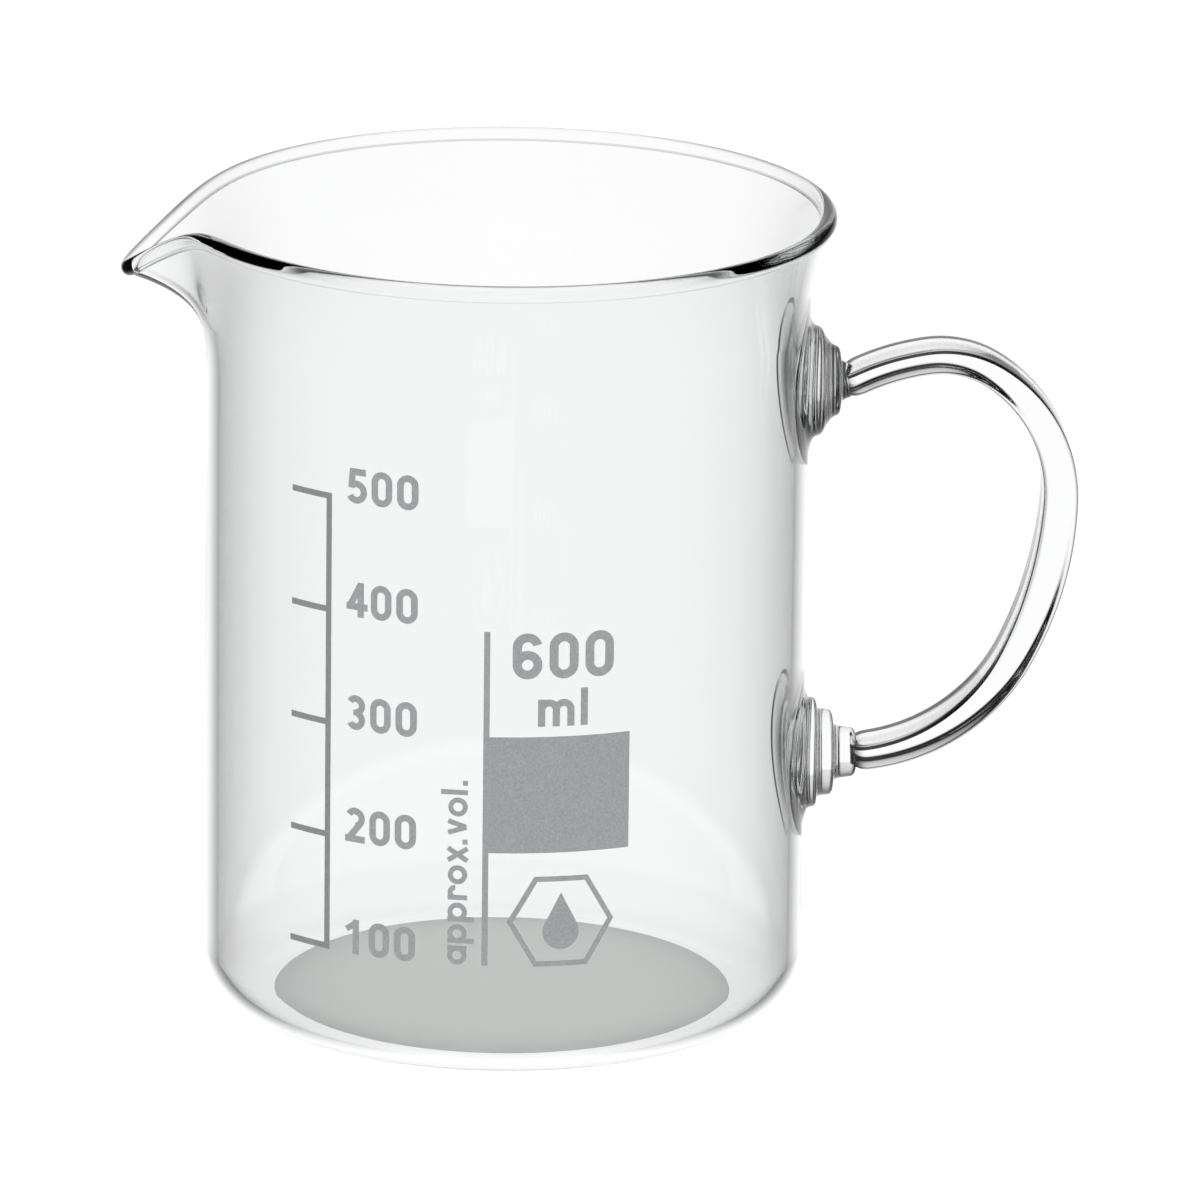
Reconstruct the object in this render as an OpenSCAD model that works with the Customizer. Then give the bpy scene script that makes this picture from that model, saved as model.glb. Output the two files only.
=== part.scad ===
// Low-form 600 ml laboratory beaker with a fused glass handle.
// Millimetres, +Z up, origin at the centre of the face it rests on.
// +X points at the handle, -X at the spout, and the print is on the -Y side.

/* [Vessel] */
// Outside diameter of the straight wall
outer_diameter = 90; // [84:1:96]
// Height from the table to the top of the rim
height = 123; // [119:1:130]
// Thickness of the wall
wall = 2; // [1.6:0.1:2.4]
// Thickness of the floor
floor_thickness = 1.8; // [1.6:0.1:3]
// Outside radius between wall and floor
heel_radius = 8.6; // [7:0.1:10]
// Diameter of the ground patch in the underside
patch_diameter = 68.8; // [60:0.1:70]
// Depth of the grinding, which is how thick the patch is drawn
patch_thickness = 0.3; // [0.2:0.05:0.4]

/* [Rim and spout] */
// Height over which the wall bends outward below the lip
flare_height = 15.7; // [12:0.1:18]
// Radius of that bend, seen from the side
flare_radius = 36; // [30:1:44]
// Radius of the fire-polished lip
lip_radius = 1.3; // [1.2:0.05:1.5]
// Distance from the axis to the end of the spout
spout_reach = 57.5; // [55.5:0.5:59.5]
// How far the end of the spout hangs below the rim
spout_droop = 8.4; // [6:0.1:9]
// Half the width of the spout where it leaves the wall
spout_half_width = 13; // [11:0.5:14]
// Height of the spout's underside where it leaves the wall, below the rim
spout_depth = 23; // [18:0.5:26]

/* [Handle] */
// Height of the upper fixing
upper_fixing = 96; // [95:0.1:97]
// Height of the lower fixing
lower_fixing = 38.1; // [37:0.1:40]
// Width of the handle strap, across the plane of the handle
strap_width = 10; // [9:0.1:12]
// Thickness of the handle strap
strap_thickness = 4.8; // [4:0.1:5.4]
// Radius of the collar fused to the wall
collar_radius = 7.7; // [7:0.1:8.4]

/* [Print] */
// Height of the 100 ml mark
first_mark = 19; // [17:0.1:21]
// Rise of the level for each 100 ml
mark_step = 17.3; // [16.6:0.1:17.6]
// Azimuth of the upright line of the scale, from -Y towards +X
scale_azimuth = -37.8; // [-42:0.1:-34]
// Azimuth of the upright rule that the label starts from
rule_azimuth = -5.9; // [-10:0.1:-2]
// Width of the filled label field, along the wall
label_width = 22; // [18:0.5:26]
// Height of the filled label field
label_height = 17.8; // [14:0.1:20]
// Thickness of the fired print
print_thickness = 0.12; // [0.1:0.02:0.2]

/* [Hidden] */
$fn = 96;
radius = outer_diameter / 2;
flare_start = height - lip_radius - flare_height;
flare_centre = radius + flare_radius;
lip_height = height - lip_radius;
lip_offset = flare_centre - sqrt(pow(flare_radius + wall / 2, 2) - pow(flare_height, 2));
spout_steps = 3;
spout_inset = 3;
spout_wall = 1.7;
spout_end_half = 2.7;
spout_end_depth = spout_droop + 2.6;
neck_reach = radius + 4.6;
fixing_span = upper_fixing - lower_fixing;
strap_corner = 1.5;
strap_drop = 0.55;
strap_climb = 17.5;
marks = [100, 200, 300, 400, 500];
line_width = 0.9;
tick_length = 7.5;
number_height = 5.3;
number_lift = 2.2;
capacity_height = 7;
unit_height = 5.6;
note_height = 3.92;
mark_size = 8;
rule_height = 51.3;
label_level = first_mark + mark_step - 0.2;
print_foot = first_mark - 0.3;
glass = [0.80, 0.88, 0.90, 0.45];
frosted = [0.72, 0.73, 0.74];
enamel = [0.60, 0.61, 0.63];

// ---------------------------------------------------------------- vessel

// Half section of the vessel grown inward by `inset`: the glass for 0, the hollow for `wall`.
module vessel_half(inset, bottom, corner) {
    translate([0, bottom])
        square([radius - inset - corner, corner]);
    translate([radius - inset - corner, bottom + corner])
        intersection() {
            circle(corner);
            translate([0, -corner])
                square(corner);
        }
    translate([0, bottom + corner])
        square([radius - inset, flare_start - bottom - corner]);
    difference() {
        translate([0, flare_start])
            square([lip_offset + lip_radius, flare_height]);
        translate([flare_centre, flare_start])
            circle(flare_radius + inset, $fn = 180);
    }
}

module hollow_half() {
    vessel_half(wall, floor_thickness, heel_radius - wall);
}

module wall_half() {
    difference() {
        vessel_half(0, 0, heel_radius);
        hollow_half();
        square([patch_diameter / 2, patch_thickness]);
    }
    translate([lip_offset, lip_height])
        circle(lip_radius);
}

// Every length of the spout runs from its value at the wall (t = 0) to its end (t = 1).
function spout_along(t) = radius - spout_inset + t * (spout_reach - radius + spout_inset);
function spout_brim(t) = lip_height - 0.1 - t * (spout_droop - lip_radius);
function spout_keel(t) = height - spout_end_depth - pow(1 - t, 2) * (spout_depth - spout_end_depth);
function spout_half(t) = spout_end_half + (spout_half_width - spout_end_half) * pow(1 - t, 1.3);

// A thin slice across the spout, a half ellipse under a level top, grown inward by `inset`.
module spout_slice(t, inset, rise) {
    half = spout_half(t) - inset;
    deep = spout_brim(t) - spout_keel(t) - inset;
    arc = [for (i = [0:12]) [half * cos(i * 15), -deep * sin(i * 15)]];
    translate([-spout_along(t), 0, spout_brim(t)])
        rotate([90, 0, -90])
            linear_extrude(0.02)
                polygon(concat(arc, [[-half, rise], [half, rise]]));
}

module spout_solid(inset, rise) {
    for (i = [0:spout_steps - 1])
        hull() {
            spout_slice(i / spout_steps, inset, rise);
            spout_slice((i + 1) / spout_steps, inset, rise);
        }
}

module glass_body() {
    color(glass)
        difference() {
            union() {
                rotate_extrude()
                    wall_half();
                difference() {
                    spout_solid(0, 0.01);
                    rotate_extrude()
                        hollow_half();
                }
            }
            translate([-0.02, 0, 0])
                spout_solid(spout_wall, 8);
        }
}

module base_patch() {
    color(frosted)
        cylinder(h = patch_thickness, d = patch_diameter);
}

// ---------------------------------------------------------------- handle

module strap_section(grow = 0) {
    across = strap_width / 2 - strap_corner;
    deep = strap_thickness / 2 - strap_corner;
    for (x = [-across, across], y = [-deep, deep])
        translate([x, y])
            circle(strap_corner + grow, $fn = 32);
    square([strap_width + 2 * grow, 2 * deep], center = true);
    square([2 * across, strap_thickness + 2 * grow], center = true);
}

// A thin band around the seam between two bends, so that they overlap and don't only touch.
module strap_seam() {
    rotate([90, 0, 90])
        linear_extrude(0.4, center = true)
            strap_section(0.02);
}

// Bends of the strap from the upper collar outward and down: [radius, angle],
// for fixings that stand `bend_span` apart.
bend_span = 57.9;
strap_bends = [[11.3, 10], [34.8, -19.6], [14.6, -41], [22.3, -59.2], [58, -24.8], [28.9, -65.4]];

// Draws the bends from number `i` on, starting at the origin and heading along +X.
module strap_from(i) {
    if (i < len(strap_bends)) {
        if (i > 0)
            strap_seam();
        bend = strap_bends[i][0] * fixing_span / bend_span;
        turn = strap_bends[i][1];
        side = turn > 0 ? 1 : -1;
        translate([0, 0, side * bend]) {
            rotate([90, 0, 0])
                rotate([0, 0, turn > 0 ? -90 : 90 + turn])
                    rotate_extrude(angle = abs(turn))
                        translate([bend, 0])
                            rotate([0, 0, 90])
                                strap_section();
            rotate([0, -turn, 0])
                translate([0, 0, -side * bend])
                    strap_from(i + 1);
        }
    }
}

module handle() {
    color(glass)
        translate([neck_reach, 0, upper_fixing - strap_drop])
            rotate([0, -strap_climb, 0])
                strap_from(0);
}

// Half section of a fixing along its own axis: fillet on the wall, collar, ring and neck.
module fixing_half() {
    steps = 8;
    spread = 5;
    fillet = [for (i = [0:steps])
        [collar_radius - 0.6 + spread * pow(1 - i / steps, 2), radius - 1.5 + 2 * i / steps]];
    polygon(concat([[0, radius - 4], [collar_radius + spread - 0.6, radius - 4]], fillet,
        [[0, radius + 0.5]]));
    translate([0, radius])
        square([collar_radius - 0.8, 1.9]);
    translate([collar_radius - 0.9, radius + 1])
        circle(0.9);
    translate([0, radius + 1.8])
        square([4.9, 2]);
    translate([4.8, radius + 2.8])
        circle(0.7);
    translate([0, radius + 3])
        square([4.3, neck_reach - radius - 3]);
}

module fixing(level) {
    color(glass)
        difference() {
            translate([0, 0, level])
                rotate([0, 90, 0])
                    rotate_extrude()
                        fixing_half();
            cylinder(h = height, r = radius);
        }
}

module upper_handle_boss() {
    fixing(upper_fixing);
}

module lower_handle_boss() {
    fixing(lower_fixing);
}

// ---------------------------------------------------------------- print

// Presses a flat drawing, x along the wall and y up, onto the outside of the wall.
module on_wall(azimuth, level) {
    color(enamel)
        intersection() {
            rotate([0, 0, azimuth])
                translate([0, 3 - radius, level])
                    rotate([90, 0, 0])
                        linear_extrude(4)
                            children();
            difference() {
                cylinder(h = height, r = radius + print_thickness, $fn = 180);
                translate([0, 0, -1])
                    cylinder(h = height + 2, r = radius, $fn = 180);
            }
        }
}

// A band of the wall's surface, from one azimuth over `span` degrees.
module wall_band(azimuth, span, level, tall) {
    color(enamel)
        rotate([0, 0, azimuth - 90])
            rotate_extrude(angle = span, $fn = 180)
                translate([radius, level])
                    square([print_thickness, tall]);
}

function degrees_along(length) = length / radius * 180 / PI;

// Signs are drawn one unit high with a pen this wide.
pen = 0.19;

module stroke(from, to, wide = pen) {
    reach = to - from;
    translate(from)
        rotate([0, 0, atan2(reach[1], reach[0])])
            translate([0, -wide / 2])
                square([norm(reach), wide]);
}

module ring(centre, size) {
    translate(centre)
        difference() {
            circle(size / 2, $fn = 40);
            circle(size / 2 - pen, $fn = 40);
        }
}

// The half of a ring that faces this angle.
module half_ring(centre, size, angle) {
    intersection() {
        ring(centre, size);
        translate(centre)
            rotate([0, 0, angle])
                translate([0, -size])
                    square([size, 2 * size]);
    }
}

// Width of a digit, and of the bowl that its round parts are made of.
figure = 0.62;

module digit_0() {
    half_ring([figure / 2, 1 - figure / 2], figure, 90);
    half_ring([figure / 2, figure / 2], figure, -90);
    for (x = [pen / 2, figure - pen / 2])
        stroke([x, 0.30], [x, 0.70]);
}

module digit_1() {
    stroke([0.36, 0], [0.36, 1]);
    stroke([0.06, 0.70], [0.36, 0.91], 0.17);
}

module digit_2() {
    half_ring([figure / 2, 1 - figure / 2], figure, 60);
    half_ring([figure / 2, 1 - figure / 2], figure, 5);
    stroke([0.51, 0.60], [0.12, 0.10]);
    stroke([0, pen / 2], [figure, pen / 2]);
}

module digit_3() {
    for (side = [-1, 1])
        for (angle = [0, 60])
            half_ring([figure / 2, 0.5 + side * 0.207], 0.586, side * angle);
    stroke([0.24, 0.5], [0.40, 0.5], 0.16);
}

module digit_4() {
    stroke([0.45, 0], [0.45, 1]);
    stroke([0, 0.30], [0.66, 0.30]);
    stroke([0.09, 0.26], [0.43, 0.92]);
}

module digit_5() {
    stroke([0.09, 1 - pen / 2], [0.58, 1 - pen / 2]);
    stroke([0.13, 0.44], [0.18, 0.98]);
    half_ring([0.29, 0.33], 0.66, 20);
    half_ring([0.29, 0.33], 0.66, -60);
}

module digit_6() {
    ring([figure / 2, figure / 2], figure);
    stroke([pen / 2, 0.30], [pen / 2, 0.70]);
    half_ring([figure / 2, 1 - figure / 2], figure, 105);
}

// Height of the small letters without a stem.
xheight = 0.74;

module letter_bowl() {
    ring([xheight / 2, xheight / 2], xheight);
}

module letter_l() {
    stroke([pen / 2, 0], [pen / 2, 1.02]);
}

module letter_m() {
    arch = 0.58;
    for (x = [0, arch - pen])
        translate([x, 0]) {
            half_ring([arch / 2, xheight - arch / 2], arch, 90);
            stroke([arch - pen / 2, 0], [arch - pen / 2, xheight - arch / 2]);
        }
    stroke([pen / 2, 0], [pen / 2, xheight]);
}

module letter_a() {
    letter_bowl();
    stroke([xheight - pen / 2, 0], [xheight - pen / 2, xheight]);
}

module letter_p() {
    letter_bowl();
    stroke([pen / 2, -0.27], [pen / 2, xheight]);
}

module letter_r() {
    stroke([pen / 2, 0], [pen / 2, xheight]);
    half_ring([0.29, xheight - 0.29], 0.58, 90);
}

module letter_x() {
    stroke([0.08, 0], [0.56, xheight]);
    stroke([0.08, xheight], [0.56, 0]);
}

module letter_v() {
    stroke([0.08, xheight], [0.31, 0.05]);
    stroke([0.54, xheight], [0.31, 0.05]);
}

module full_stop() {
    square(pen);
}

module sign(name) {
    if (name == "0") digit_0();
    if (name == "1") digit_1();
    if (name == "2") digit_2();
    if (name == "3") digit_3();
    if (name == "4") digit_4();
    if (name == "5") digit_5();
    if (name == "6") digit_6();
    if (name == "a") letter_a();
    if (name == "l") letter_l();
    if (name == "m") letter_m();
    if (name == "o") letter_bowl();
    if (name == "p") letter_p();
    if (name == "r") letter_r();
    if (name == "v") letter_v();
    if (name == "x") letter_x();
    if (name == ".") full_stop();
}

// Step from one sign to the next.
function advance(name) =
    name == "l" || name == "." ? 0.37 :
    name == "x" || name == "v" ? 0.72 :
    name == "r" ? 0.62 :
    name == "m" ? 1.14 :
    name == "a" || name == "o" || name == "p" ? 0.85 : 0.77;

// Width of the first `count` signs of a word, with the gap after each.
function span(word, count) = count == 0 ? 0 : advance(word[count - 1]) + span(word, count - 1);

// The signs of a word side by side, from the origin on.
module row(word, tall) {
    scale(tall)
        for (i = [0:len(word) - 1])
            translate([span(word, i), 0])
                sign(word[i]);
}

// The same, with the middle of the word over the origin.
module centred_row(word, tall) {
    gap = 0.13;
    translate([-tall * (span(word, len(word)) - gap) / 2, 0])
        row(word, tall);
}

module graduation_scale() {
    on_wall(scale_azimuth, first_mark - line_width / 2) {
        square([line_width, 4 * mark_step + line_width]);
        for (mark = marks)
            translate([line_width - tick_length, (mark / 100 - 1) * mark_step])
                square([tick_length, line_width]);
    }
}

module scale_number(mark) {
    on_wall(scale_azimuth + degrees_along(9.4),
            first_mark + (mark / 100 - 1) * mark_step + number_lift - number_height / 2)
        centred_row(str(mark), number_height);
}

module number_100() {
    scale_number(100);
}

module number_200() {
    scale_number(200);
}

module number_300() {
    scale_number(300);
}

module number_400() {
    scale_number(400);
}

module number_500() {
    scale_number(500);
}

module capacity_number() {
    on_wall(rule_azimuth + degrees_along(11.85), label_level + label_height + 8.9)
        centred_row("600", capacity_height);
}

module capacity_unit() {
    on_wall(rule_azimuth + degrees_along(11.85), label_level + label_height + 1.6)
        centred_row("ml", unit_height);
}

module label_panel() {
    wall_band(rule_azimuth, degrees_along(line_width), print_foot, rule_height);
    wall_band(rule_azimuth, degrees_along(label_width), label_level, label_height);
}

module volume_note() {
    on_wall(rule_azimuth - degrees_along(3.4), print_foot)
        rotate([0, 0, 90])
            translate([0, -1.2])
                row("approx.vol.", note_height);
}

// A drop in a plain six-sided frame.
module generic_mark() {
    on_wall(rule_azimuth + degrees_along(11.7), first_mark + 6.5) {
        difference() {
            circle(mark_size, $fn = 6);
            circle(mark_size - line_width, $fn = 6);
        }
        translate([0, -0.2 * mark_size])
            circle(0.34 * mark_size, $fn = 40);
        translate([0, -0.2 * mark_size])
            scale(0.34 * mark_size)
                polygon([[-0.89, 0.45], [0.89, 0.45], [0, 2.2]]);
    }
}

glass_body();
handle();
upper_handle_boss();
lower_handle_boss();
base_patch();
graduation_scale();
number_100();
number_200();
number_300();
number_400();
number_500();
capacity_number();
capacity_unit();
label_panel();
volume_note();
generic_mark();
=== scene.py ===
import math

import bpy
import numpy as np
from mathutils import Matrix, Vector


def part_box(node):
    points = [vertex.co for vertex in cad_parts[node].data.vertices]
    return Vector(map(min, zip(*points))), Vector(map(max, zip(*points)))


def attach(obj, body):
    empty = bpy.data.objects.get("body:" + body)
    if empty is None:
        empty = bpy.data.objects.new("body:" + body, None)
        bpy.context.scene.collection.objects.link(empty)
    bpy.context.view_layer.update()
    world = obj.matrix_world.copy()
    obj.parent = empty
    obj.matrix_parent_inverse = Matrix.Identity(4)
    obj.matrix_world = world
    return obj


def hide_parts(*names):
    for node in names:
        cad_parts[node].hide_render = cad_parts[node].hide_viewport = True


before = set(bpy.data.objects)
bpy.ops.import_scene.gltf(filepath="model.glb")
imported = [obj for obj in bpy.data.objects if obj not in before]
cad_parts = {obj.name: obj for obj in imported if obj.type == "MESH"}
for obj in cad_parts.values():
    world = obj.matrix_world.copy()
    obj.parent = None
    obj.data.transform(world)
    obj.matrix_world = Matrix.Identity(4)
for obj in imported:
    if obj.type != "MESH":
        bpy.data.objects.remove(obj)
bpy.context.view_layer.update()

# The looks of a 600 ml glass beaker with a fused handle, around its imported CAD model.
# Shapes are worked out in millimetres and scaled by MM, because the frame is in metres.

MM = 0.001


def cad_box_mm(node):
    """Lowest and highest corner of a CAD node, in millimetres."""
    low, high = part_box(node)
    return np.array(low) / MM, np.array(high) / MM


# ------------------------------------------------------------------ sizes

WALL = 2.0
FLOOR = 1.8
HEEL = 8.6
LIP = 1.3
FLARE_RADIUS = 36.0
FLARE_HEIGHT = 15.7
LIP_OVERHANG = FLARE_RADIUS - math.sqrt((FLARE_RADIUS + WALL / 2) ** 2 - FLARE_HEIGHT ** 2)

_, BODY_HIGH = cad_box_mm("glass_body")
_, PATCH_HIGH = cad_box_mm("base_patch")
UPPER_LOW, UPPER_HIGH = cad_box_mm("upper_handle_boss")
LOWER_LOW, LOWER_HIGH = cad_box_mm("lower_handle_boss")

RADIUS = BODY_HIGH[1] - LIP - LIP_OVERHANG
LIP_Z = BODY_HIGH[2] - LIP
FLARE_Z = LIP_Z - FLARE_HEIGHT
PATCH_RADIUS = PATCH_HIGH[0]
UPPER_FIXING = (UPPER_LOW[2] + UPPER_HIGH[2]) / 2
LOWER_FIXING = (LOWER_LOW[2] + LOWER_HIGH[2]) / 2
NECK_REACH = UPPER_HIGH[0]

# Glass pieces that are fused reach this far into each other, so that no film of air shows.
FUSE = 0.05
# How close to a sharp edge the extra rings stand that keep its shading crisp.
CREASE = 0.03


# ------------------------------------------------------------------ mesh helpers

def mesh_object(name, vertices, faces):
    """A new smooth mesh object from points in millimetres."""
    mesh = bpy.data.meshes.new(name)
    mesh.from_pydata([tuple(float(c) * MM for c in v) for v in vertices], [], faces)
    mesh.validate()
    mesh.polygons.foreach_set("use_smooth", [True] * len(mesh.polygons))
    mesh.update()
    piece = bpy.data.objects.new(name, mesh)
    bpy.context.scene.collection.objects.link(piece)
    return piece


def loft(name, rings):
    """A closed skin over rings of equal length; each end is closed with a fan to its centre."""
    rings = [np.asarray(ring, float) for ring in rings]
    count = len(rings[0])
    vertices = [point for ring in rings for point in ring]
    faces = []
    for i in range(len(rings) - 1):
        a, b = i * count, (i + 1) * count
        for j in range(count):
            k = (j + 1) % count
            faces.append((a + j, a + k, b + k, b + j))
    first, last = len(vertices), (len(rings) - 1) * count
    vertices += [rings[0].mean(axis=0), rings[-1].mean(axis=0)]
    for j in range(count):
        k = (j + 1) % count
        faces.append((first, k, j))
        faces.append((first + 1, last + j, last + k))
    return mesh_object(name, vertices, faces)


def arc(centre, radius, start, stop, count):
    """Points of an arc in a half section, angles in degrees from the outward direction."""
    angles = np.radians(np.linspace(start, stop, count))
    return [(centre[0] + radius * math.cos(a), centre[1] + radius * math.sin(a)) for a in angles]


def rounded(points, passes=3):
    """A smooth line along a broken one, made by cutting its corners again and again."""
    points = np.array(points, float)
    for _ in range(passes):
        a, b = points[:-1], points[1:]
        cuts = np.stack([0.75 * a + 0.25 * b, 0.25 * a + 0.75 * b], axis=1).reshape(-1, 2)
        points = np.vstack([points[:1], cuts, points[-1:]])
    return points


def smoothstep(t):
    t = np.clip(t, 0.0, 1.0)
    return t * t * (3 - 2 * t)


def unit(vectors):
    return vectors / np.linalg.norm(vectors, axis=-1, keepdims=True)


# ------------------------------------------------------------------ glass body

SEGMENTS = 480
SPOUT_CROWDING = 0.6       # how much closer together the segments stand at the spout
LIP_STEPS = 22

# The spout. Each pair of fades holds, for the -Y side and for the +Y side, the degrees over which
# the drawn-out lip returns to the round and the power of that fall. The growths are powers of the
# height, from where the wall begins to bend up to the lip.
SPOUT_START = 99.0         # height at which the wall begins to bend towards the spout
SPOUT_ROUNDING = 1.6       # degrees over which the very tip is rounded
SPOUT_REACH = 8.9          # how far the middle of the lip is drawn out
REACH_FADES = ((7.6, 1.5), (8.4, 1.05))
REACH_GROWTH = 2.2
SPOUT_DROOP = 8.1          # how far the middle of the lip is drawn down
DROOP_FADES = ((8.0, 1.3), (10.2, 0.95))
DROOP_GROWTH = 1.6


def azimuths():
    """Directions of the segments round the axis, crowded at the spout on the -X side."""
    even = 2 * np.pi * np.arange(SEGMENTS) / SEGMENTS
    return even + SPOUT_CROWDING * np.sin(even)


def turned(section):
    """A ring of points round the axis for every (radius, height) of a half section."""
    turn = azimuths()
    radius, height = (np.array(values)[:, None] for values in zip(*section))
    return np.stack(np.broadcast_arrays(radius * np.cos(turn), radius * np.sin(turn), height), axis=-1)


def faded(size, angle, side, fades):
    """A size that falls off with the angle from the spout, in its own way on either side."""
    near, far = (size * np.exp(-(angle / spread) ** power) for spread, power in fades)
    return np.where(side > 0, far, near)


def draw_out_spout(points):
    """Draws the wall near the rim out and down into the pouring spout."""
    x, y, z = points[..., 0], points[..., 1], points[..., 2]
    angle = np.degrees(np.arctan2(y, -x))
    angle = np.sqrt(angle ** 2 + SPOUT_ROUNDING ** 2) - SPOUT_ROUNDING
    rise = np.clip((z - SPOUT_START) / (LIP_Z - SPOUT_START), 0.0, None)
    reach = faded(SPOUT_REACH, angle, y, REACH_FADES) * rise ** REACH_GROWTH
    droop = faded(SPOUT_DROOP, angle, y, DROOP_FADES) * rise ** DROOP_GROWTH
    grow = 1 + reach / np.hypot(x, y)
    return np.stack([x * grow, y * grow, z - droop], axis=-1)


def middle_wall():
    """Rings on the middle surface of the wall, from above the heel up to the lip's centre."""
    middle = RADIUS - WALL / 2
    stop = math.degrees(math.asin(FLARE_HEIGHT / (FLARE_RADIUS + WALL / 2)))
    section = [(middle, z) for z in np.linspace(HEEL + 1, FLARE_Z, 30)]
    section += arc((RADIUS + FLARE_RADIUS, FLARE_Z), FLARE_RADIUS + WALL / 2, 180, 180 - stop, 32)[1:]
    return draw_out_spout(turned(section))


def wall_and_lip():
    """Rings up the outside of the wall, round the lip and down the inside."""
    middle = middle_wall()
    up = unit(np.gradient(middle, axis=0))
    around = unit(np.roll(middle, -1, axis=1) - np.roll(middle, 1, axis=1))
    outward = unit(np.cross(around, up))
    meeting = math.sqrt(LIP ** 2 - (WALL / 2) ** 2)      # how far below its centre the lip meets the wall
    below_lip = np.linalg.norm(middle - middle[-1], axis=-1).min(axis=1) > meeting + 0.1
    rows = np.flatnonzero(below_lip)
    rings = [middle[i] + outward[i] * WALL / 2 for i in rows]
    start = math.degrees(math.asin(-meeting / LIP))
    for a in np.radians(np.linspace(start, 180 - start, LIP_STEPS)):
        rings.append(middle[-1] + LIP * (math.cos(a) * outward[-1] + math.sin(a) * up[-1]))
    rings += [middle[i] - outward[i] * WALL / 2 for i in rows[::-1]]
    return rings


def glass_body():
    """The vessel in one skin, from the middle of the underside round to the middle of the floor."""
    recess = PATCH_HIGH[2] - FUSE
    edge = PATCH_RADIUS - FUSE
    inner_heel = HEEL - WALL
    under = [(r, recess) for r in np.linspace(1.0, edge - CREASE, 6)]
    under += [(edge, recess), (edge, recess - CREASE), (edge, CREASE), (edge, 0.0), (edge + CREASE, 0.0)]
    under += arc((RADIUS - HEEL, HEEL), HEEL, -90, 0, 22)
    inside = arc((RADIUS - HEEL, FLOOR + inner_heel), inner_heel, 0, -90, 20)
    inside += [(r, FLOOR) for r in np.linspace(RADIUS - HEEL, 1.0, 6)[1:]]
    return loft("beaker_glass", [*turned(under), *wall_and_lip(), *turned(inside)])


# ------------------------------------------------------------------ handle

# Bends in order from the upper fixing, as (radius, turn in degrees).
STRAP_BENDS = [(11.3, 10), (34.8, -19.6), (14.6, -41), (22.3, -59.2), (58, -24.8), (28.9, -65.4)]
STRAP_CLIMB = 17.5         # heading at the upper fixing, in degrees
STRAP_DROP = 0.55          # how far below the fixing's axis the strap begins
STRAP_STEP = 0.6           # distance between the sections along it
STRAP_WIDTH = 10.0
STRAP_ARM = 3.8            # thickness where it leaves the fixings
STRAP_GRIP = 5.5           # thickness in the upright part
GRIP_MIDDLE = 0.55         # where along the strap it is thickest, as a share of its length
GRIP_SPREAD = 0.45         # and the share over which it thins to either side
SIDE_ROUNDING = 0.24       # powers of the section's oval: 1 is an ellipse, 0 a sharp-edged bar
FACE_ROUNDING = 0.28
STRAP_NOSE = 3.0           # length of the strap's rounded ends
UPPER_SETBACK = 0.3        # how far along its path the strap begins
LOWER_SETBACK = 2.2        # and how far before the end of it the strap stops


def strap_path():
    """Points (x, z, heading) along the strap in its plane, from the upper fixing to the lower."""
    x, z, heading = NECK_REACH, UPPER_FIXING - STRAP_DROP, math.radians(STRAP_CLIMB)
    path = [(x, z, heading)]
    for radius, turn in STRAP_BENDS:
        side = math.copysign(radius, turn)
        cx, cz = x - side * math.sin(heading), z + side * math.cos(heading)
        count = max(4, round(radius * math.radians(abs(turn)) / STRAP_STEP))
        for h in heading + np.linspace(0, math.radians(turn), count + 1)[1:]:
            path.append((cx + side * math.sin(h), cz - side * math.cos(h), h))
        x, z, heading = path[-1]
    return np.array(path)


def strap_section(width, thick, count=96):
    """A flattened oval: nearly flat faces and definite, rounded edges."""
    turn = 2 * np.pi * (np.arange(count) + 0.5) / count
    across, deep = np.cos(turn), np.sin(turn)
    return (np.copysign(np.abs(across) ** SIDE_ROUNDING, across) * width / 2,
            np.copysign(np.abs(deep) ** FACE_ROUNDING, deep) * thick / 2)


def handle():
    """The strap, thin where it leaves the fixings and thickest where it is gripped."""
    path = strap_path()
    length = np.concatenate([[0], np.cumsum(np.hypot(*np.diff(path[:, :2], axis=0).T))])
    rings = []
    for (x, z, heading), done in zip(path, length):
        to_end = min(done - UPPER_SETBACK, length[-1] - LOWER_SETBACK - done)
        if to_end < 0.05:
            continue
        nose = math.sqrt(1 - (1 - min(to_end / STRAP_NOSE, 1.0)) ** 2)
        grip = smoothstep(1 - abs(done / length[-1] - GRIP_MIDDLE) / GRIP_SPREAD)
        thick = STRAP_ARM + (STRAP_GRIP - STRAP_ARM) * grip
        across, deep = strap_section(STRAP_WIDTH * nose, thick * nose ** 0.5)
        ring = [x - math.sin(heading) * deep, across, z + math.cos(heading) * deep]
        rings.append(np.stack(ring, axis=-1))
    return loft("handle_strap", rings)


# Half sections of the fixings as distance from their own axis and height above the wall:
# a fillet that runs out on the wall, a shoulder, a ring and a neck.
FILLET = [(12.6, 0.0), (10.4, 0.06), (8.9, 0.5)]
UPPER_PROFILE = FILLET + [
    (8.3, 1.0), (8.1, 1.9), (6.5, 2.7),
    (5.4, 3.6), (5.1, 4.6), (3.6, 4.8),
    (2.8, 5.2), (2.4, 6.6), (1.0, 6.7),
]
LOWER_PROFILE = FILLET + [
    (8.3, 0.8), (8.2, 1.9), (6.7, 2.0),
    (6.5, 2.9), (6.4, 4.3), (4.6, 4.5),
    (4.0, 4.9), (3.8, 6.2), (3.6, 7.9), (1.0, 8.0),
]
CURVED_UP_TO = 3.0         # height over which a fixing goes from the wall's curve to a flat disc


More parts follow.
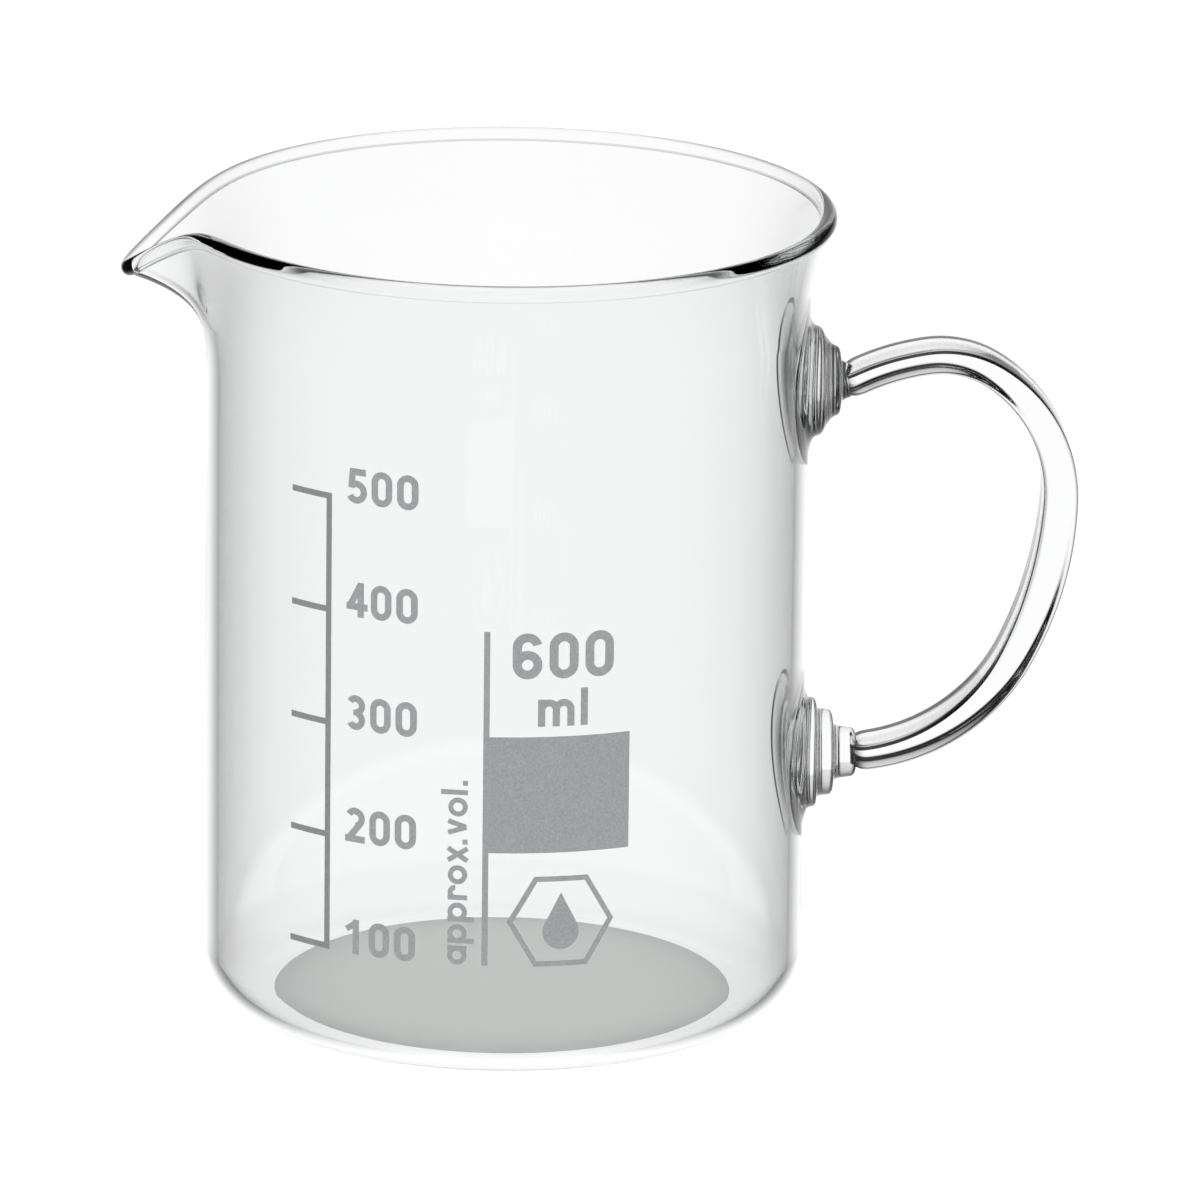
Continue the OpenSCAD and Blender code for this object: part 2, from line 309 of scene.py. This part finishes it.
def fixing(name, level, profile, count=128):
    """A fixing turned about its own axis, with its back fitted to the round wall."""
    back = [(rho, -FUSE) for rho in np.linspace(1.0, profile[0][0], 10)]
    turn = 2 * np.pi * np.arange(count) / count
    rings = []
    for rho, rise in back + list(rounded(profile)):
        y, z = rho * np.cos(turn), rho * np.sin(turn)
        curved = np.sqrt(RADIUS ** 2 - y ** 2)
        flat = smoothstep(rise / CURVED_UP_TO)
        rings.append(np.stack([curved + (RADIUS - curved) * flat + rise, y, level + z], axis=-1))
    return loft(name, rings)


# ------------------------------------------------------------------ materials

def new_material(name):
    """A material with an empty tree: itself, its nodes, its links and its output."""
    material = bpy.data.materials.new(name)
    material.use_nodes = True
    tree = material.node_tree
    tree.nodes.clear()
    return material, tree.nodes, tree.links, tree.nodes.new("ShaderNodeOutputMaterial")


def object_noise(nodes, links, scale, detail, stretch=(1, 1, 1)):
    """Noise fixed to the piece; scale is in features per metre."""
    coordinates = nodes.new("ShaderNodeTexCoord")
    mapping = nodes.new("ShaderNodeMapping")
    mapping.inputs["Scale"].default_value = stretch
    noise = nodes.new("ShaderNodeTexNoise")
    noise.inputs["Scale"].default_value = scale
    noise.inputs["Detail"].default_value = detail
    links.new(coordinates.outputs["Object"], mapping.inputs["Vector"])
    links.new(mapping.outputs["Vector"], noise.inputs["Vector"])
    return noise


def two_tone(nodes, links, noise, dark, light):
    """A grey that wanders between two levels with the noise."""
    ramp = nodes.new("ShaderNodeValToRGB")
    for element, position, colour in zip(ramp.color_ramp.elements, (0.32, 0.70), (dark, light)):
        element.position = position
        element.color = (*colour, 1)
    links.new(noise.outputs["Fac"], ramp.inputs["Fac"])
    return ramp.outputs["Color"]


def relief(nodes, links, noise, strength, depth):
    """Bump of the given depth, in metres, from the noise."""
    bump = nodes.new("ShaderNodeBump")
    bump.inputs["Strength"].default_value = strength
    bump.inputs["Distance"].default_value = depth
    links.new(noise.outputs["Fac"], bump.inputs["Height"])
    return bump.outputs["Normal"]


def clear_glass():
    """Borosilicate glass with the faint upright waviness of a drawn wall."""
    material, nodes, links, output = new_material("borosilicate_glass")
    glass = nodes.new("ShaderNodeBsdfGlass")
    glass.inputs["Color"].default_value = (0.994, 0.997, 0.996, 1)
    glass.inputs["IOR"].default_value = 1.473
    glass.inputs["Roughness"].default_value = 0.0
    waves = object_noise(nodes, links, 45.0, 2.0, (1, 1, 0.3))
    links.new(relief(nodes, links, waves, 0.06, 0.0004), glass.inputs["Normal"])
    links.new(glass.outputs["BSDF"], output.inputs["Surface"])
    return material


def scattering(nodes, links, colour, normal, through, sheen):
    """A matt skin that also lets a share of the light through, with a weak gloss on top."""
    matt = nodes.new("ShaderNodeBsdfDiffuse")
    back_lit = nodes.new("ShaderNodeBsdfTranslucent")
    skin = nodes.new("ShaderNodeMixShader")
    skin.inputs["Fac"].default_value = through
    gloss = nodes.new("ShaderNodeBsdfGlossy")
    gloss.inputs["Roughness"].default_value = 0.45
    finish = nodes.new("ShaderNodeMixShader")
    finish.inputs["Fac"].default_value = sheen
    for shader in (matt, back_lit):
        links.new(colour, shader.inputs["Color"])
        links.new(normal, shader.inputs["Normal"])
    links.new(normal, gloss.inputs["Normal"])
    links.new(matt.outputs["BSDF"], skin.inputs[1])
    links.new(back_lit.outputs["BSDF"], skin.inputs[2])
    links.new(skin.outputs["Shader"], finish.inputs[1])
    links.new(gloss.outputs["BSDF"], finish.inputs[2])
    return finish.outputs["Shader"]


def fired_enamel(name, shade):
    """Grey print of the given shade: pigment fired onto glass, finely speckled, with a dull sheen."""
    material, nodes, links, output = new_material(name)
    specks = object_noise(nodes, links, 3200.0, 2.0)
    dark, light = ([tone * level for level in shade] for tone in (0.88, 1.12))
    colour = two_tone(nodes, links, specks, dark, light)
    normal = relief(nodes, links, specks, 0.3, 0.00003)
    links.new(scattering(nodes, links, colour, normal, 0.35, 0.03), output.inputs["Surface"])
    return material


def ground_glass():
    """The matt ground patch: fine grain that scatters the light from below."""
    material, nodes, links, output = new_material("ground_glass")
    grain = object_noise(nodes, links, 2600.0, 3.0)
    colour = two_tone(nodes, links, grain, (0.86, 0.86, 0.855), (0.94, 0.94, 0.935))
    normal = relief(nodes, links, grain, 0.4, 0.00005)
    links.new(scattering(nodes, links, colour, normal, 0.35, 0.02), output.inputs["Surface"])
    return material


# ------------------------------------------------------------------ build

GLASS = clear_glass()
ENAMEL = fired_enamel("fired_enamel", (0.505, 0.51, 0.52))
# The scale is printed in the same enamel as the rest; this darker copy is painted shade for where it sits
# at the side of the wall, seen at a grazing angle.
SHADED_SCALE_ENAMEL = fired_enamel("fired_scale_enamel", (0.39, 0.395, 0.405))
GROUND = ground_glass()


def dress(piece, material, slot, *stands_for):
    """Gives a piece its finish; a new piece also takes the place of the CAD nodes named."""
    piece.data.materials.clear()
    piece.data.materials.append(material)
    if stands_for:
        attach(piece, "root")
        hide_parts(*stands_for)


dress(glass_body(), GLASS, "clear_glass", "glass_body")
dress(handle(), GLASS, "clear_glass", "handle")
dress(fixing("upper_fixing", UPPER_FIXING, UPPER_PROFILE), GLASS, "clear_glass", "upper_handle_boss")
dress(fixing("lower_fixing", LOWER_FIXING, LOWER_PROFILE), GLASS, "clear_glass", "lower_handle_boss")

for name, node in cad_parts.items():
    if name == "base_patch":
        dress(node, GROUND, "ground_glass")
    elif name == "graduation_scale":
        # Painted shade: the scale takes the darker copy of the enamel.
        dress(node, SHADED_SCALE_ENAMEL, "fired_enamel")
    elif not node.hide_render:
        dress(node, ENAMEL, "fired_enamel")


# ------------------------------------------------------------------ stage and light

def in_camera_space(nodes, links, direction):
    """The parts of a world-space direction across, up and away from the camera."""
    turn = nodes.new("ShaderNodeVectorTransform")
    turn.vector_type = "VECTOR"
    turn.convert_from = "WORLD"
    turn.convert_to = "CAMERA"
    split = nodes.new("ShaderNodeSeparateXYZ")
    links.new(direction, turn.inputs["Vector"])
    links.new(turn.outputs["Vector"], split.inputs["Vector"])
    return split.outputs


def calculate(nodes, links, operation, *values):
    """A math node fed with sockets or plain numbers."""
    step = nodes.new("ShaderNodeMath")
    step.operation = operation
    for socket, value in zip(step.inputs, values):
        if isinstance(value, (int, float)):
            socket.default_value = value
        else:
            links.new(value, socket)
    return step.outputs["Value"]


def ramp_down(nodes, links, value, start, stop):
    """1 up to start, falling smoothly to DIM at stop."""
    fade = nodes.new("ShaderNodeMapRange")
    fade.interpolation_type = "SMOOTHSTEP"
    for label, number in (("From Min", start), ("From Max", stop), ("To Min", 1.0), ("To Max", DIM)):
        fade.inputs[label].default_value = number
    links.new(value, fade.inputs["Value"])
    return fade.outputs["Result"]


AMBIENT = 1.15             # brightness of table and room as the matt surfaces gather it
BRIGHT = 1.06              # brightness of table and room as clear glass passes them on
DIM = 0.05                 # brightness of all that lies off the line of sight

# Where the brightness that clear glass passes on falls off: with how far the light goes
# sideways (0 to 1), and with how far it turns back from the line of sight (0 to 2).
TABLE_SPREAD = ((0.12, 0.74), (0.60, 1.30))
ROOM_SPREAD = ((0.06, 0.58), (0.0, 0.55))
# Beneath the beaker the table is bright in every direction, out to these distances.
BRIGHT_DISC = (RADIUS * MM * 0.85, RADIUS * MM * 1.05)


def near_line_of_sight(nodes, links, sideways, returned):
    """1 for light that comes from straight behind the scene, falling off over the two ranges given."""
    incoming = nodes.new("ShaderNodeNewGeometry").outputs["Incoming"]
    way = in_camera_space(nodes, links, incoming)
    across = ramp_down(nodes, links, calculate(nodes, links, "ABSOLUTE", way["X"]), *sideways)
    onward = ramp_down(nodes, links, calculate(nodes, links, "ADD", way["Z"], 1.0), *returned)
    return calculate(nodes, links, "MULTIPLY", across, onward)


def near_axis(nodes, links):
    """1 beneath the beaker, falling off round it."""
    distance = nodes.new("ShaderNodeVectorMath")
    distance.operation = "LENGTH"
    links.new(nodes.new("ShaderNodeNewGeometry").outputs["Position"], distance.inputs[0])
    return ramp_down(nodes, links, distance.outputs["Value"], *BRIGHT_DISC)


def glow(nodes, links, gathered):
    """White to the camera, even for light that a matt surface scatters, else as gathered."""
    path = nodes.new("ShaderNodeLightPath")
    scattered = calculate(nodes, links, "MULTIPLY", path.outputs["Diffuse Depth"], AMBIENT)
    scattered = calculate(nodes, links, "MINIMUM", scattered, AMBIENT)
    seen = calculate(nodes, links, "MAXIMUM", path.outputs["Is Camera Ray"], scattered)
    passed_on = calculate(nodes, links, "MULTIPLY", gathered, BRIGHT)
    return calculate(nodes, links, "MAXIMUM", seen, passed_on)


def light_table():
    """White, lit from within. Clear glass gathers it beneath the beaker and near the line of sight."""
    material, nodes, links, output = new_material("light_table")
    emission = nodes.new("ShaderNodeEmission")
    along = near_line_of_sight(nodes, links, *TABLE_SPREAD)
    gathered = calculate(nodes, links, "MAXIMUM", along, near_axis(nodes, links))
    links.new(glow(nodes, links, gathered), emission.inputs["Strength"])
    links.new(emission.outputs["Emission"], output.inputs["Surface"])
    material.cycles.emission_sampling = "NONE"
    return material


def floor():
    """A plain white table top, a hair below the beaker."""
    size = 6.0
    corners = [(-size, -size, 0), (size, -size, 0), (size, size, 0), (-size, size, 0)]
    mesh = bpy.data.meshes.new("floor")
    mesh.from_pydata(corners, [], [(0, 1, 2, 3)])
    mesh.materials.append(light_table())
    piece = bpy.data.objects.new("floor", mesh)
    bpy.context.scene.collection.objects.link(piece)
    piece.location.z = -0.0002


def studio():
    """The room above the table, bright behind it and dim elsewhere."""
    world = bpy.data.worlds.new("studio")
    bpy.context.scene.world = world
    world.use_nodes = True
    world.cycles.sampling_method = "NONE"
    nodes, links = world.node_tree.nodes, world.node_tree.links
    nodes.clear()
    output = nodes.new("ShaderNodeOutputWorld")
    background = nodes.new("ShaderNodeBackground")
    gathered = near_line_of_sight(nodes, links, *ROOM_SPREAD)
    links.new(glow(nodes, links, gathered), background.inputs["Strength"])
    links.new(background.outputs["Background"], output.inputs["Surface"])


def camera():
    """A long lens from the front, a little above, turned and shifted to frame beaker and handle."""
    elevation, azimuth, roll, distance = 16.145, -2.0, 0.543, 2.0
    focal_in_frames = 11.12
    target = Vector((0, 0, 0.062))
    a, e = math.radians(azimuth), math.radians(elevation)
    back = Vector((math.sin(a) * math.cos(e), -math.cos(a) * math.cos(e), math.sin(e)))
    data = bpy.data.cameras.new("camera")
    data.sensor_width = 36.0
    data.lens = focal_in_frames * data.sensor_width
    data.shift_x = 0.0787
    data.shift_y = -0.0007
    data.clip_end = 50
    eye = bpy.data.objects.new("camera", data)
    bpy.context.scene.collection.objects.link(eye)
    eye.rotation_mode = "QUATERNION"
    upright = (-back).to_track_quat("-Z", "Y")
    eye.rotation_quaternion = upright @ Matrix.Rotation(math.radians(roll), 3, "Z").to_quaternion()
    eye.location = target + back * distance
    bpy.context.scene.camera = eye


floor()
studio()
camera()

scene = bpy.context.scene
scene.view_settings.view_transform = "Standard"
scene.cycles.max_bounces = 24
scene.cycles.transmission_bounces = 24
scene.cycles.glossy_bounces = 12
scene.cycles.diffuse_bounces = 10
scene.cycles.caustics_reflective = True
scene.cycles.caustics_refractive = True
scene.cycles.blur_glossy = 0.0
